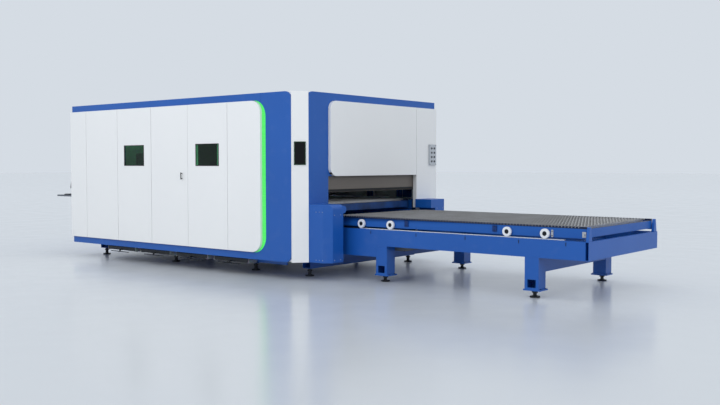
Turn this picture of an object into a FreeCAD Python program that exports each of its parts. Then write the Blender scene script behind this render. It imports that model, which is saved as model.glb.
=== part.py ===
import FreeCAD, Part
import math
import os

os.makedirs("parts", exist_ok=True)

# ---------------------------------------------------------------
# Driving sizes, millimetres.  X runs along the machine towards the
# exchange station, Y across it, Z up.  The door side is -Y.
# ---------------------------------------------------------------
BAY_LEN = 870.0           # equipment bay behind the machine bed
BED_REAR = 370.0          # bed behind the inner pallet
FRONT_ROOM = 140.0        # inner pallet to the end face
HALF_W = 1460.0           # enclosure half width over the white panels
TOP = 2200.0              # enclosure top
SKIRT = 200.0             # lower edge of the enclosure
CONSOLE_REACH = 710.0     # rear wall to the free edge of the keyboard tray
FIRST_W = 396.0           # width of the first side panel
LAST_W = 576.0            # width of the last side panel
COLUMN_W = 648.0          # last side panel to the end face
PROUD = 36.0              # white panels stand this far off the blue frame
SHEET = 24.0              # thickness of the blue frame plates
PANEL_T = 60.0            # depth of a white panel
BAND = 90.0               # height of the blue band and of the blue sill
GAP = 5.0                 # gap between two panels
REVEAL = 3.0              # gap between a panel and the blue frame
CORNER_R = 100.0          # rounded corners of the blue frame
PANEL_R = 150.0           # rounded corners of the last side panel
DECK = 607.0              # top of the lower rails
PALLET_L = 3240.0         # length of a pallet
PALLET_HALF = 845.0       # half width of a pallet frame
SLATS = 86                # slats in a pallet
SLAT_T = 4.0              # thickness of a slat
WHEEL_R = 50.0            # radius of a pallet wheel
WHEEL_T = 28.0            # width of a pallet wheel
PAN_W = 150.0             # floor pan beside the machine bed
RUN = 0.5                 # gap between sliding pieces
SPLIT = 5.0               # gap between a pallet wheel track and the bed

# ---------------------------------------------------------------
# Derived planes
# ---------------------------------------------------------------
LEVEL = 2 * WHEEL_R + 40.0
ENC_LEN = BAY_LEN + BED_REAR + PALLET_L + FRONT_ROOM
STATION_REACH = PALLET_L + 30.0
TOTAL = STATION_REACH + ENC_LEN + CONSOLE_REACH
END_X = TOTAL / 2 - STATION_REACH
REAR_X = END_X - ENC_LEN
FRAME_X = END_X - PROUD
FRAME_Y = HALF_W - PROUD
IN_X = FRAME_X - SHEET
IN_Y = FRAME_Y - SHEET
SILL_TOP = SKIRT + BAND
BAND_BOTTOM = TOP - BAND
ROOF_Z = TOP - 30.0
MID_Z = (SILL_TOP + BAND_BOTTOM) / 2
CH_X = 143.0              # near corner chamfer, along X
CH_Y = 156.0              # near corner chamfer, along Y
CH_FAR = 111.0            # far corner chamfer, both ways
NEAR_EDGE = -(FRAME_Y - CH_Y)
FAR_EDGE = FRAME_Y - CH_FAR
LAST_X = END_X - COLUMN_W
PANEL_W = (LAST_X - LAST_W - REAR_X - FIRST_W) / 4
SEAM = [LAST_X - LAST_W - PANEL_W * k for k in range(5)]
TRACK_IN = PALLET_HALF + SPLIT
TRACK_OUT = TRACK_IN + WHEEL_T
BED_IN = TRACK_OUT + 12.0
BED_HALF = IN_Y - PAN_W
BEAM_IN = TRACK_IN - 2.0
BEAM_OUT = TRACK_OUT + 20.0
PALLET_A = END_X - 14.0 + PALLET_L / 2
PALLET_B = END_X - FRONT_ROOM - PALLET_L / 2
AXLE_AT = [-PALLET_L / 2 + 440.0, -PALLET_L / 2 + 863.0, PALLET_L / 2 - 870.0, PALLET_L / 2 - 440.0]


def box(x0, x1, y0, y1, z0, z1):
    return Part.makeBox(x1 - x0, y1 - y0, z1 - z0, FreeCAD.Vector(x0, y0, z0))


def both(shape):
    """A piece and its mirror image across the middle of the machine."""
    other = shape.mirror(FreeCAD.Vector(0, 0, 0), FreeCAD.Vector(0, 1, 0))
    return [shape, other]


def poly(points, push):
    """A flat outline of 3-D points, pushed along a vector."""
    ring = [FreeCAD.Vector(*p) for p in points]
    wire = Part.makePolygon(ring + [ring[0]])
    return Part.Face(wire).extrude(FreeCAD.Vector(*push))


def rod(r, x, y, z, length, axis):
    return Part.makeCylinder(r, length, FreeCAD.Vector(x, y, z), FreeCAD.Vector(*axis))


def tube_x(x0, x1, y0, y1, z0, z1, wall):
    outer = box(x0, x1, y0, y1, z0, z1)
    return outer.cut(box(x0 - 1, x1 + 1, y0 + wall, y1 - wall, z0 + wall, z1 - wall))


def tube_y(x0, x1, y0, y1, z0, z1, wall):
    outer = box(x0, x1, y0, y1, z0, z1)
    return outer.cut(box(x0 + wall, x1 - wall, y0 - 1, y1 + 1, z0 + wall, z1 - wall))


def tube_z(x0, x1, y0, y1, z0, z1, wall):
    outer = box(x0, x1, y0, y1, z0, z1)
    return outer.cut(box(x0 + wall, x1 - wall, y0 + wall, y1 - wall, z0 - 1, z1 + 1))


def fuse(shapes):
    return shapes[0].multiFuse(shapes[1:]).removeSplitter()


def round_edges(shape, radius, pick):
    """Rounds the edges whose middle point satisfies pick."""
    chosen = [e for e in shape.Edges if pick(e)]
    return shape.makeFillet(radius, chosen)


def along(edge, axis):
    a = edge.Vertexes[0].Point
    b = edge.Vertexes[-1].Point
    d = b - a
    return d.Length > 1e-6 and abs(abs(d[axis]) - d.Length) < 1e-6


def save(name, shapes):
    solids = []
    for s in shapes:
        solids += s.Solids
    shape = solids[0] if len(solids) == 1 else Part.makeCompound(solids)
    shape.exportStep("parts/" + name + ".step")


# ---------------------------------------------------------------
# Machine bed: two box beams, cross beams, feet tubes, rail ledges
# ---------------------------------------------------------------
BED_X0 = PALLET_B - PALLET_L / 2 - BED_REAR
BED_X1 = IN_X - 60.0
BED_TOP = DECK + LEVEL + 113.0
FOOT_TOP = 95.0
FOOT_TUBE = 90.0
FOOT_Y = BED_HALF - 240.0
FOOT_X = [REAR_X + 224.0, REAR_X + 1846.0, END_X - 1192.0, END_X - 262.0]
BED_Z0 = FOOT_TOP + FOOT_TUBE
side = tube_x(BED_X0, BED_X1, BED_IN, BED_HALF, BED_Z0, BED_TOP, 12)
apron = box(PALLET_B - PALLET_L / 2 - 50, END_X - 410, BED_HALF - 12, BED_HALF, 140, BED_Z0)
low_ledge = box(BED_X0, BED_X1, TRACK_IN, BED_IN, DECK - 47, DECK - 9)
high_ledge = box(BED_X0, BED_X1, TRACK_IN, BED_IN, DECK + LEVEL - 31, DECK + LEVEL - 9)
cap0 = box(BED_X0 - 10, BED_X0, BED_IN, BED_HALF, BED_Z0, BED_TOP)
beam = fuse([side, apron, low_ledge, high_ledge, cap0])
bed = both(beam)
CROSS_N = 5
for k in range(CROSS_N):
    x = BED_X0 + 100 + (BED_X1 - BED_X0 - 320) * k / (CROSS_N - 1)
    bed.append(tube_y(x, x + 120, -BED_IN, BED_IN, BED_Z0 + 15, BED_Z0 + 215, 8))
for x in FOOT_X:
    bed.append(tube_y(x - 65, x + 65, -FOOT_Y - 60, FOOT_Y + 60, FOOT_TOP, BED_Z0, 8))
bed.append(box(REAR_X + SHEET, BED_X0 - 10, -BED_HALF, BED_HALF, BED_Z0, BED_Z0 + 21))
save("bed_frame", bed)

feet = []
for x in FOOT_X:
    for y in (-FOOT_Y, FOOT_Y):
        pad = rod(55, x, y, 0, 16, (0, 0, 1))
        stem = rod(20, x, y, 16, FOOT_TOP - 16, (0, 0, 1))
        nut = rod(32, x, y, 60, 18, (0, 0, 1))
        feet.append(fuse([pad, stem, nut]))
save("bed_feet", feet)

# ---------------------------------------------------------------
# Floor pan, tray runners, partition and gate guides
# ---------------------------------------------------------------
TRAY_L = PANEL_W - 130.0
TRAY_Z0 = 146.0
TRAY_Z1 = 190.0
TRAY_Y0 = -(IN_Y + 8)
TRAY_Y1 = -(BED_HALF + 8)
PAN_X1 = FRAME_X - CH_X
pan = both(box(REAR_X + SHEET, PAN_X1, -IN_Y, -BED_HALF, SKIRT, SKIRT + 6))
runners = []
for x in SEAM[:4]:
    for s in (-1, 1):
        web0 = x + s * (TRAY_L / 2 + 1)
        web = box(min(web0, web0 + 4 * s), max(web0, web0 + 4 * s), TRAY_Y0, TRAY_Y1, 139, SKIRT)
        low0 = x + s * (TRAY_L / 2 - 20)
        low = box(min(low0, web0), max(low0, web0), TRAY_Y0, TRAY_Y1, 139, TRAY_Z0 - RUN)
        runners.append(fuse([web, low]))
wall = box(BED_X0 - 40, BED_X0 - 10, -IN_Y + 12, IN_Y - 12, BED_Z0 + 21, ROOF_Z)
GATE_T = 12.0
GATE_X = IN_X - 20.0
GATE_Y0 = -(TRACK_OUT + 62.0)
GATE_Y1 = TRACK_OUT - 8.0
GATE_Z0 = 1012.0
GATE_H = 440.0
GATE_UP = 190.0
GATE_DOWN = 117.0
guides = []
for y, s in ((GATE_Y0, -1), (GATE_Y1, 1)):
    y0 = y - 10 * s
    y1 = y + 15 * s
    lo = min(y0, y1)
    hi = max(y0, y1)
    bar = box(GATE_X - 14, IN_X - RUN, lo, hi, GATE_Z0 - GATE_DOWN - 15, GATE_Z0 + GATE_H + GATE_UP)
    slot0 = min(y0 - s, y + RUN * s)
    slot1 = max(y0 - s, y + RUN * s)
    slot = box(GATE_X - RUN, GATE_X + GATE_T + RUN, slot0, slot1, 0, TOP)
    guides.append(bar.cut(slot))
save("inner_sheetwork", pan + runners + [wall] + guides)

# ---------------------------------------------------------------
# Blue side frames with their posts
# ---------------------------------------------------------------


def rounded(x0, x1, z0, z1, y, r, push):
    """Plate in an XZ plane with its two +X corners rounded."""
    plate = box(x0, x1, min(y, y + push), max(y, y + push), z0, z1)
    return round_edges(plate, r, lambda e: along(e, 1) and abs(e.CenterOfMass.x - x1) < 1e-3)


def side_frame(edge_x):
    plate = rounded(REAR_X, edge_x, SKIRT, TOP, -FRAME_Y, CORNER_R, SHEET)
    hole = rounded(REAR_X - 5, LAST_X + REVEAL, SILL_TOP - REVEAL, BAND_BOTTOM + REVEAL,
                   -FRAME_Y - 1, PANEL_R, SHEET + 2)
    pieces = [plate.cut(hole)]
    post_y0 = -HALF_W + PANEL_T
    for x in [REAR_X + SHEET + 30] + SEAM[::-1] + [LAST_X - 32, edge_x - 190]:
        pieces.append(tube_z(x - 30, x + 30, post_y0, post_y0 + 60, SKIRT + 6, ROOF_Z, 4))
    return pieces


near = side_frame(FRAME_X - CH_X)
far = [p.mirror(FreeCAD.Vector(0, 0, 0), FreeCAD.Vector(0, 1, 0)) for p in side_frame(FRAME_X - CH_FAR)]
save("side_frames", near + far)

# ---------------------------------------------------------------
# Blue end frame: column, band, sill, posts and header behind it
# ---------------------------------------------------------------
WHITE_Y0 = -(TRACK_OUT + 45.0)
STRIP_Y0 = PALLET_HALF - 6.0
OPEN_TOP = 1207.0
OPEN_LOW = 400.0
NOTCH_Y = BEAM_OUT + 3.0
NOTCH_Z = DECK + LEVEL + 18.0
plate = box(IN_X, FRAME_X, NEAR_EDGE, FAR_EDGE, SKIRT, TOP)
plate = round_edges(plate, CORNER_R * 0.7, lambda e: along(e, 0) and e.CenterOfMass.y < NEAR_EDGE + 1)
hole = box(IN_X - 1, FRAME_X + 1, WHITE_Y0 - REVEAL, FAR_EDGE + 5, OPEN_TOP - 5, BAND_BOTTOM + REVEAL)
hole = round_edges(hole, 110, lambda e: along(e, 0) and e.CenterOfMass.y < 0 and e.CenterOfMass.z > MID_Z)
low = box(IN_X - 1, FRAME_X + 1, WHITE_Y0 - REVEAL, NOTCH_Y, OPEN_LOW, OPEN_TOP)
side = box(IN_X - 1, FRAME_X + 1, NOTCH_Y - 1, FAR_EDGE + 5, SILL_TOP - REVEAL, OPEN_TOP)
end_pieces = [plate.cut(hole).cut(low).cut(side)]
post_x = IN_X - 60
for y0, y1 in ((NEAR_EDGE + 28, NEAR_EDGE + 88), (GATE_Y0 - 75, GATE_Y0 - 15),
               (GATE_Y1 + 20, GATE_Y1 + 80), (FAR_EDGE - 95, FAR_EDGE - 35)):
    end_pieces.append(tube_z(post_x, IN_X, y0, y1, BED_TOP + 1, ROOF_Z, 4))
header_z = GATE_Z0 + GATE_H + GATE_UP + 50
for y0, y1 in ((NEAR_EDGE + 88, GATE_Y0 - 75), (GATE_Y0 - 15, GATE_Y1 + 20), (GATE_Y1 + 80, FAR_EDGE - 95)):
    end_pieces.append(tube_y(post_x, IN_X, y0, y1, header_z, header_z + 60, 4))
save("end_frame", end_pieces)

# ---------------------------------------------------------------
# Corner panels between the side frames and the end frame
# ---------------------------------------------------------------


def corner_outline(leg_x, leg_y, s, depth0, depth1):
    """Four corners of the strip between two depths behind the bevel line."""
    length = math.hypot(leg_x, leg_y)
    x_side = FRAME_X - leg_x
    y_end = FRAME_Y - leg_y
    points = []
    for depth in (depth0, depth1):
        rise = depth * length / leg_x
        back = depth * length / leg_y
        at_side = (x_side, s * (FRAME_Y - rise))
        at_end = (FRAME_X - back, s * y_end)
        points.append((at_side, at_end))
    return [points[0][0], points[0][1], points[1][1], points[1][0]]


def corner_panel(leg_x, leg_y, s):
    ring = corner_outline(leg_x, leg_y, s, 4.0, 30.0)
    slab = poly([(p[0], p[1], SKIRT) for p in ring], (0, 0, TOP - SKIRT))
    x_side = FRAME_X - leg_x
    y_end = FRAME_Y - leg_y
    wing_a = box(x_side - CORNER_R, x_side + 6, min(s * IN_Y, s * (IN_Y - 4)), max(s * IN_Y, s * (IN_Y - 4)),
                 SKIRT + 8, TOP)
    wing_y = sorted((s * (y_end - 25), s * (y_end + 3)))
    wing_b = box(IN_X - 4, IN_X, wing_y[0], wing_y[1], SKIRT + 8, TOP)
    return fuse([slab, wing_a, wing_b])


save("corner_panels", [corner_panel(CH_X, CH_Y, -1), corner_panel(CH_FAR, CH_FAR, 1)])

# Status screen on the near corner panel
bevel = math.degrees(math.atan2(CH_Y, CH_X))
bevel_len = math.hypot(CH_X, CH_Y)
turn = FreeCAD.Rotation(FreeCAD.Vector(0, 0, 1), bevel)
foot_of_bevel = FreeCAD.Vector(FRAME_X - CH_X, -FRAME_Y, 0)
SCREEN_W = 136.0
SCREEN_H = 272.0
SCREEN_Z = 1478.0
bezel = box(bevel_len / 2 - SCREEN_W / 2, bevel_len / 2 + SCREEN_W / 2, -6, 4,
            SCREEN_Z - SCREEN_H / 2, SCREEN_Z + SCREEN_H / 2)
dish = box(bevel_len / 2 - SCREEN_W / 2 + 9, bevel_len / 2 + SCREEN_W / 2 - 9, -7, -4,
           SCREEN_Z - SCREEN_H / 2 + 9, SCREEN_Z + SCREEN_H / 2 - 9)
screen = bezel.cut(dish)
screen.Placement = FreeCAD.Placement(foot_of_bevel, turn)
save("status_screen", [screen])

# ---------------------------------------------------------------
# White side panels, doors, panes
# ---------------------------------------------------------------
SKIN = 6.0
RIM = 20.0
WIN_W = 440.0
WIN_H = 280.0
WIN_Z = 1468.0


def cassette(x0, x1, depth, window):
    """White panel: a skin with a turned rim, open to the inside."""
    slab = box(x0, x1, -HALF_W, -HALF_W + depth, SILL_TOP, BAND_BOTTOM)
    hollow = box(x0 + RIM, x1 - RIM, -HALF_W + SKIN, -HALF_W + depth + 1, SILL_TOP + RIM, BAND_BOTTOM - RIM)
    slab = slab.cut(hollow)
    if window:
        mid = (x0 + x1) / 2
        slab = slab.cut(box(mid - WIN_W / 2, mid + WIN_W / 2, -HALF_W - 1, -HALF_W + SKIN + 1,
                            WIN_Z - WIN_H / 2, WIN_Z + WIN_H / 2))
    return slab


def pane(x0, x1):
    mid = (x0 + x1) / 2
    return box(mid - WIN_W / 2 - 15, mid + WIN_W / 2 + 15, -HALF_W + SKIN, -HALF_W + SKIN + 6,
               WIN_Z - WIN_H / 2 - 15, WIN_Z + WIN_H / 2 + 15)


def last_panel(x0):
    slab = rounded(x0, LAST_X, SILL_TOP, BAND_BOTTOM, -HALF_W, PANEL_R, PANEL_T)
    hollow = rounded(x0 + RIM, LAST_X - RIM, SILL_TOP + RIM, BAND_BOTTOM - RIM,
                     -HALF_W + SKIN, PANEL_R - RIM, PANEL_T)
    return slab.cut(hollow)


half = GAP / 2
fixed = [cassette(REAR_X, SEAM[4] - half, PANEL_T, False)]
fixed.append(cassette(SEAM[4] + half, SEAM[3] - half, PANEL_T, False))
fixed.append(cassette(SEAM[3] + half, SEAM[2] - half, PANEL_T, True))
fixed.append(last_panel(SEAM[0] + half))
save("side_panels_near", fixed)
save("window_fixed", [pane(SEAM[3] + half, SEAM[2] - half)])

DOOR_T = PANEL_T - 3.0
save("door_left", [cassette(SEAM[2] + half, SEAM[1] - half, DOOR_T, False)])
save("door_right", [cassette(SEAM[1] + half, SEAM[0] - half, DOOR_T, True)])
save("window_door", [pane(SEAM[1] + half, SEAM[0] - half)])

HANDLE_X = SEAM[1] - 102.0
HANDLE_Z = 1198.0
back = box(HANDLE_X - 15, HANDLE_X + 15, -HALF_W - 5, -HALF_W, HANDLE_Z - 52, HANDLE_Z + 52)
grip = box(HANDLE_X - 7, HANDLE_X + 7, -HALF_W - 34, -HALF_W - 22, HANDLE_Z - 46, HANDLE_Z + 46)
arm_a = box(HANDLE_X - 7, HANDLE_X + 7, -HALF_W - 24, -HALF_W - 4, HANDLE_Z - 46, HANDLE_Z - 34)
arm_b = box(HANDLE_X - 7, HANDLE_X + 7, -HALF_W - 24, -HALF_W - 4, HANDLE_Z + 34, HANDLE_Z + 46)
save("door_handle", [fuse([back, grip, arm_a, arm_b])])

far_panels = [cassette(REAR_X, SEAM[4] - half, PANEL_T, False)]
for k in range(4):
    far_panels.append(cassette(SEAM[4 - k] + half, SEAM[3 - k] - half, PANEL_T, False))
far_panels.append(last_panel(SEAM[0] + half))
save("side_panels_far", [p.mirror(FreeCAD.Vector(0, 0, 0), FreeCAD.Vector(0, 1, 0)) for p in far_panels])

# Light strips beside the last side panels
LIGHT_W = 58.0
LIGHT_T = 4.0
outer = rounded(LAST_X - PANEL_R, LAST_X + LIGHT_W, SILL_TOP - REVEAL, BAND_BOTTOM + REVEAL,
                -FRAME_Y, PANEL_R + LIGHT_W * 0.7, -LIGHT_T)
inner = rounded(LAST_X - PANEL_R - 5, LAST_X + REVEAL, SILL_TOP - REVEAL - 0.01, BAND_BOTTOM + REVEAL + 0.01,
                -FRAME_Y + 1, PANEL_R, -LIGHT_T - 2)
strip = outer.cut(inner)
save("light_strips", both(strip))

# ---------------------------------------------------------------
# White end panels, button plate, buttons
# ---------------------------------------------------------------
main = box(IN_X, END_X, WHITE_Y0, STRIP_Y0 - half, OPEN_TOP, BAND_BOTTOM)
main = round_edges(main, 107, lambda e: along(e, 0) and e.CenterOfMass.y < 0 and e.CenterOfMass.z > MID_Z)
hollow = box(IN_X - 1, END_X - SKIN, WHITE_Y0 + RIM, STRIP_Y0 - half - RIM, OPEN_TOP + RIM, header_z - 10)
hollow_b = box(IN_X - 1, END_X - SKIN, WHITE_Y0 + 110, STRIP_Y0 - half - RIM,
               header_z + 70, BAND_BOTTOM - RIM)
main = main.cut(hollow).cut(hollow_b)
tall = box(IN_X, END_X, STRIP_Y0 + half, FAR_EDGE - REVEAL, SILL_TOP, BAND_BOTTOM)
tall = tall.cut(box(IN_X - 1, END_X + 1, STRIP_Y0, NOTCH_Y, SILL_TOP - 1, NOTCH_Z))
tall = tall.cut(box(IN_X - 1, END_X - SKIN, NOTCH_Y + RIM, FAR_EDGE - RIM, SILL_TOP + RIM, header_z - 10))
save("end_panels", [main, tall])

PLATE_X1 = END_X + 20.0
PLATE_Y0 = FAR_EDGE - 192.0
PLATE_Y1 = PLATE_Y0 + 159.0
PLATE_Z0 = 1338.0
PLATE_Z1 = 1620.0
BUTTON_R = 13.0
TRAVEL = 4.0
plate = box(END_X, PLATE_X1, PLATE_Y0, PLATE_Y1, PLATE_Z0, PLATE_Z1)
spots = []
for row in range(4):
    for col in (0, 1):
        y = PLATE_Y0 + 47 + 65 * col
        z = PLATE_Z1 - 53 - 59 * row
        spots.append((y, z))
        plate = plate.cut(rod(BUTTON_R + 0.4, END_X + 4, y, z, 20, (1, 0, 0)))
save("button_plate", [plate])
for k, (y, z) in enumerate(spots):
    stem_x = END_X + 4 + TRAVEL + 0.5
    stem = rod(BUTTON_R, stem_x, y, z, PLATE_X1 + 6 - stem_x, (1, 0, 0))
    save("button_" + str(k + 1), [stem])

# ---------------------------------------------------------------
# Lifting gate
# ---------------------------------------------------------------
leaf = box(GATE_X, GATE_X + GATE_T, GATE_Y0, GATE_Y1, GATE_Z0, GATE_Z0 + GATE_H)
lip = box(GATE_X - 12, GATE_X, GATE_Y0 + 30, GATE_Y1 - 30, GATE_Z0, GATE_Z0 + 20)
save("gate", [fuse([leaf, lip])])

# ---------------------------------------------------------------
# Guard boxes either side of the pallet opening
# ---------------------------------------------------------------
GUARD_X = END_X + 258.0
GUARD_Z = 880.0
ring = [(FRAME_X, NEAR_EDGE + 3), (GUARD_X - 80, NEAR_EDGE + 3), (GUARD_X, NEAR_EDGE + 83),
        (GUARD_X, NEAR_EDGE + 271), (FRAME_X, NEAR_EDGE + 271)]
near_box = poly([(x, y, SKIRT + 4) for x, y in ring], (0, 0, GUARD_Z - SKIRT - 4))
near_box = round_edges(near_box, 55, lambda e: along(e, 1) and e.CenterOfMass.z > GUARD_Z - 1
                       and e.CenterOfMass.x > GUARD_X - 1)
nose = rod(44, FRAME_X + 60, NEAR_EDGE + 284, GUARD_Z - 60, GUARD_X - FRAME_X - 62, (1, 0, 0))
near_box = fuse([near_box, nose])
FAR_Y0 = NOTCH_Y + 9.0
FAR_Y1 = FAR_Y0 + 292.0
ring = [(END_X, FAR_Y0), (GUARD_X, FAR_Y0), (GUARD_X, FAR_Y1 - 80), (GUARD_X - 80, FAR_Y1), (END_X, FAR_Y1)]
far_box = poly([(x, y, SILL_TOP) for x, y in ring], (0, 0, GUARD_Z - SILL_TOP))
cover = box(END_X, GUARD_X, FAR_Y0 - 99, FAR_Y0 + 5, NOTCH_Z + 3, GUARD_Z)
far_box = fuse([far_box, cover])
far_box = round_edges(far_box, 55, lambda e: along(e, 0) and e.CenterOfMass.z > GUARD_Z - 1
                      and e.CenterOfMass.y > FAR_Y1 - 1)
save("guard_boxes", [near_box, far_box])

# ---------------------------------------------------------------
# Roof panels and rear wall
# ---------------------------------------------------------------
roof = []
ROOF_N = 3
r0 = REAR_X
r1 = FRAME_X - 300.0
for k in range(ROOF_N):
    a = r0 + (r1 - r0) * k / ROOF_N
    b = r0 + (r1 - r0) * (k + 1) / ROOF_N
    roof.append(box(a, b, -IN_Y, IN_Y, ROOF_Z, TOP - 6))
nose = [(r1, -IN_Y), (FRAME_X - CH_X - CORNER_R - 1, -IN_Y), (FRAME_X - CH_X - CORNER_R - 1, -IN_Y + 6),
        (FRAME_X - CH_X - 40, -IN_Y + 6), (IN_X - 30, NEAR_EDGE - 4), (IN_X - 14, NEAR_EDGE + 26),
        (IN_X, NEAR_EDGE + 26),
        (IN_X, FAR_EDGE - 28), (IN_X - 14, FAR_EDGE - 28), (IN_X - 30, FAR_EDGE + 4),
        (FRAME_X - CH_FAR - 40, IN_Y - 6), (FRAME_X - CH_FAR - CORNER_R - 1, IN_Y - 6),
        (FRAME_X - CH_FAR - CORNER_R - 1, IN_Y), (r1, IN_Y)]
roof.append(poly([(x, y, ROOF_Z) for x, y in nose], (0, 0, TOP - 6 - ROOF_Z)))
save("roof_panels", roof)

rear = box(REAR_X, REAR_X + SHEET, -IN_Y, IN_Y, SKIRT, ROOF_Z)
rear = rear.cut(box(REAR_X + 4, REAR_X + SHEET + 1, -IN_Y + 60, IN_Y - 60, SKIRT + 60, ROOF_Z - 60))
for k in range(10):
    z = 500.0 + 60 * k
    rear = rear.cut(box(REAR_X - 1, REAR_X + 5, 300, 1100, z, z + 22))
save("rear_wall", [rear])

# ---------------------------------------------------------------
# Laser source and electrical cabinet behind the rear wall
# ---------------------------------------------------------------
BAY_Z = BED_Z0 + 21
BAY_X0 = REAR_X + 150.0
BAY_X1 = BED_X0 - 80.0
source = box(BAY_X0, BAY_X1, -1180, -420, BAY_Z, BAY_Z + 900)
source = source.cut(box(BAY_X0 + 40, BAY_X1 - 40, -1181, -1176, BAY_Z + 60, BAY_Z + 840))
outlet = rod(30, (BAY_X0 + BAY_X1) / 2, -800, BAY_Z + 899, 61, (0, 0, 1))
save("laser_source", [fuse([source, outlet])])
cabinet = box(BAY_X0, BAY_X1, -300, 1180, BAY_Z, BAY_Z + 1800)
for y0, y1 in ((-280, 435), (445, 1160)):
    cabinet = cabinet.cut(box(BAY_X0 - 1, BAY_X0 + 4, y0, y1, BAY_Z + 30, BAY_Z + 1770))
save("electrical_cabinet", [cabinet])

# ---------------------------------------------------------------
# Gantry rails and racks, gantry, carriage, cutting head
# ---------------------------------------------------------------
RAIL_Y = BED_HALF - 100.0
RAIL_W = 34.0
RAIL_H = 30.0
rails = []
for y in (-RAIL_Y, RAIL_Y):
    rails.append(box(BED_X0 + 20, BED_X1 - 20, y - RAIL_W / 2, y + RAIL_W / 2, BED_TOP, BED_TOP + RAIL_H))
for y in (-RAIL_Y + 70, RAIL_Y - 70):
    rails.append(box(BED_X0 + 20, BED_X1 - 20, y - 15, y + 15, BED_TOP, BED_TOP + 25))
save("gantry_rails", rails)

GANTRY_X = PALLET_B - 170.0
GZ0 = BED_TOP + 150.0
GZ1 = GZ0 + 280.0
hull = tube_y(GANTRY_X - 130, GANTRY_X + 130, -RAIL_Y - 30, RAIL_Y + 30, GZ0, GZ1, 10)
gantry = [hull]
for s in (-1, 1):
    y = s * RAIL_Y
    gantry.append(box(GANTRY_X - 190, GANTRY_X + 190, y - 80, y + 80, BED_TOP + 70, GZ0))
    for x in (GANTRY_X - 150, GANTRY_X + 150):
        shoe = box(x - 40, x + 40, y - 34, y + 34, BED_TOP + 8, BED_TOP + 70)
        groove = box(x - 41, x + 41, y - RAIL_W / 2 - RUN, y + RAIL_W / 2 + RUN,
                     BED_TOP, BED_TOP + RAIL_H + RUN)
        gantry.append(shoe.cut(groove))
for z in (GZ0 + 50, GZ1 - 50):
    gantry.append(box(GANTRY_X + 130, GANTRY_X + 150, 150 - RAIL_Y, RAIL_Y - 150, z - 10, z + 10))
save("gantry", [fuse(gantry)])

CX0 = GANTRY_X + 131.0
CX1 = CX0 + 90.0
HEAD_Y = 0.0
carriage = box(CX0, CX1, HEAD_Y - 110, HEAD_Y + 110, GZ0 + 20, GZ1 + 20)
for z in (GZ0 + 50, GZ1 - 50):
    carriage = carriage.cut(box(CX0 - 1, GANTRY_X + 150 + RUN, HEAD_Y - 111, HEAD_Y + 111,
                                z - 10 - RUN, z + 10 + RUN))
tongue = box(CX1, CX1 + 12, HEAD_Y - 20, HEAD_Y + 20, GZ0 + 30, GZ1 + 10)
save("head_carriage", [fuse([carriage, tongue])])

HX = CX1 + 60.0
NOZZLE_Z = GZ0 - 10.0
body = box(CX1 + RUN, CX1 + 110, HEAD_Y - 55, HEAD_Y + 55, GZ0 + 90, GZ1 + 60)
body = body.cut(box(CX1, CX1 + 12 + RUN, HEAD_Y - 20 - RUN, HEAD_Y + 20 + RUN, GZ0, GZ1 + 61))
barrel = rod(38, HX, HEAD_Y, GZ0 + 40, 50.01, (0, 0, 1))
cone = Part.makeCone(6, 32, 50, FreeCAD.Vector(HX, HEAD_Y, NOZZLE_Z), FreeCAD.Vector(0, 0, 1))
fibre = rod(24, HX, HEAD_Y, GZ1 + 60, 120, (0, 0, 1))
save("cutting_head", [fuse([body, barrel, cone, fibre])])

# ---------------------------------------------------------------
# Pallet guides: lower and upper rail bars inside the machine
# ---------------------------------------------------------------
RAIL_END = END_X + 410.0
bars = both(box(BED_X0, RAIL_END - 1, TRACK_IN, TRACK_OUT, DECK - 9, DECK))
bars += both(box(BED_X0, BED_X1, TRACK_IN, TRACK_OUT, DECK + LEVEL - 9, DECK + LEVEL))
save("pallet_guides", bars)

# ---------------------------------------------------------------
# Pallets: frame, comb edges, slats, axles with wheels
# ---------------------------------------------------------------
SIDE_W = 40.0
AXLE_R = 8.0
AXLE_FIT = 0.08
SLAT_PITCH = (PALLET_L - 180.0) / (SLATS - 1)
FRAME_H = 2 * WHEEL_R + 15.0
SLAT_LOW = WHEEL_R + AXLE_R + 11.0


def pallet_frame(cx, deck):
    z0 = deck + 17
    z1 = deck + FRAME_H
    x0 = cx - PALLET_L / 2
    x1 = cx + PALLET_L / 2
    side_in = PALLET_HALF - SIDE_W
    beam = box(x0, x1, side_in, PALLET_HALF, z0, z1)
    for a, b in ((x0 + 60, cx - 20), (cx + 20, x1 - 60)):
        beam = beam.cut(box(a, b, side_in - 1, PALLET_HALF - 8, z0 + 60, z1 - 8))
    for off in AXLE_AT:
        beam = beam.cut(rod(AXLE_R + AXLE_FIT, cx + off, side_in - 1, deck + WHEEL_R, SIDE_W + 2, (0, 1, 0)))
    ledge = box(x0 + 50, x1 - 50, side_in - 20, side_in, deck + SLAT_LOW - 8, deck + SLAT_LOW)
    side_piece = beam.fuse(ledge).removeSplitter()
    pieces = both(side_piece)
    for a in (x0, x1 - 40):
        pieces.append(box(a, a + 40, -side_in, side_in, z0 + 10, z1 - 2))
    for k in range(5):
        x = x0 + 140 + (PALLET_L - 340) * k / 4
        pieces.append(box(x, x + 60, -side_in, side_in, z0, z0 + 20))
    return pieces


def comb(cx, deck):
    """Notched strip on the side beam: one notch for each slat end."""
    x0 = cx - (SLATS - 1) * SLAT_PITCH / 2
    z = deck + FRAME_H
    start = cx - PALLET_L / 2
    end = cx + PALLET_L / 2
    points = [(start, z), (start, z + 18)]
    for k in range(SLATS):
        x = x0 + SLAT_PITCH * k
        points += [(x - 6, z + 18), (x - 6, z + 4), (x + 6, z + 4), (x + 6, z + 18)]
    points += [(end, z + 18), (end, z)]
    return poly([(x, PALLET_HALF - 6, zz) for x, zz in points], (0, 6, 0))


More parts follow.
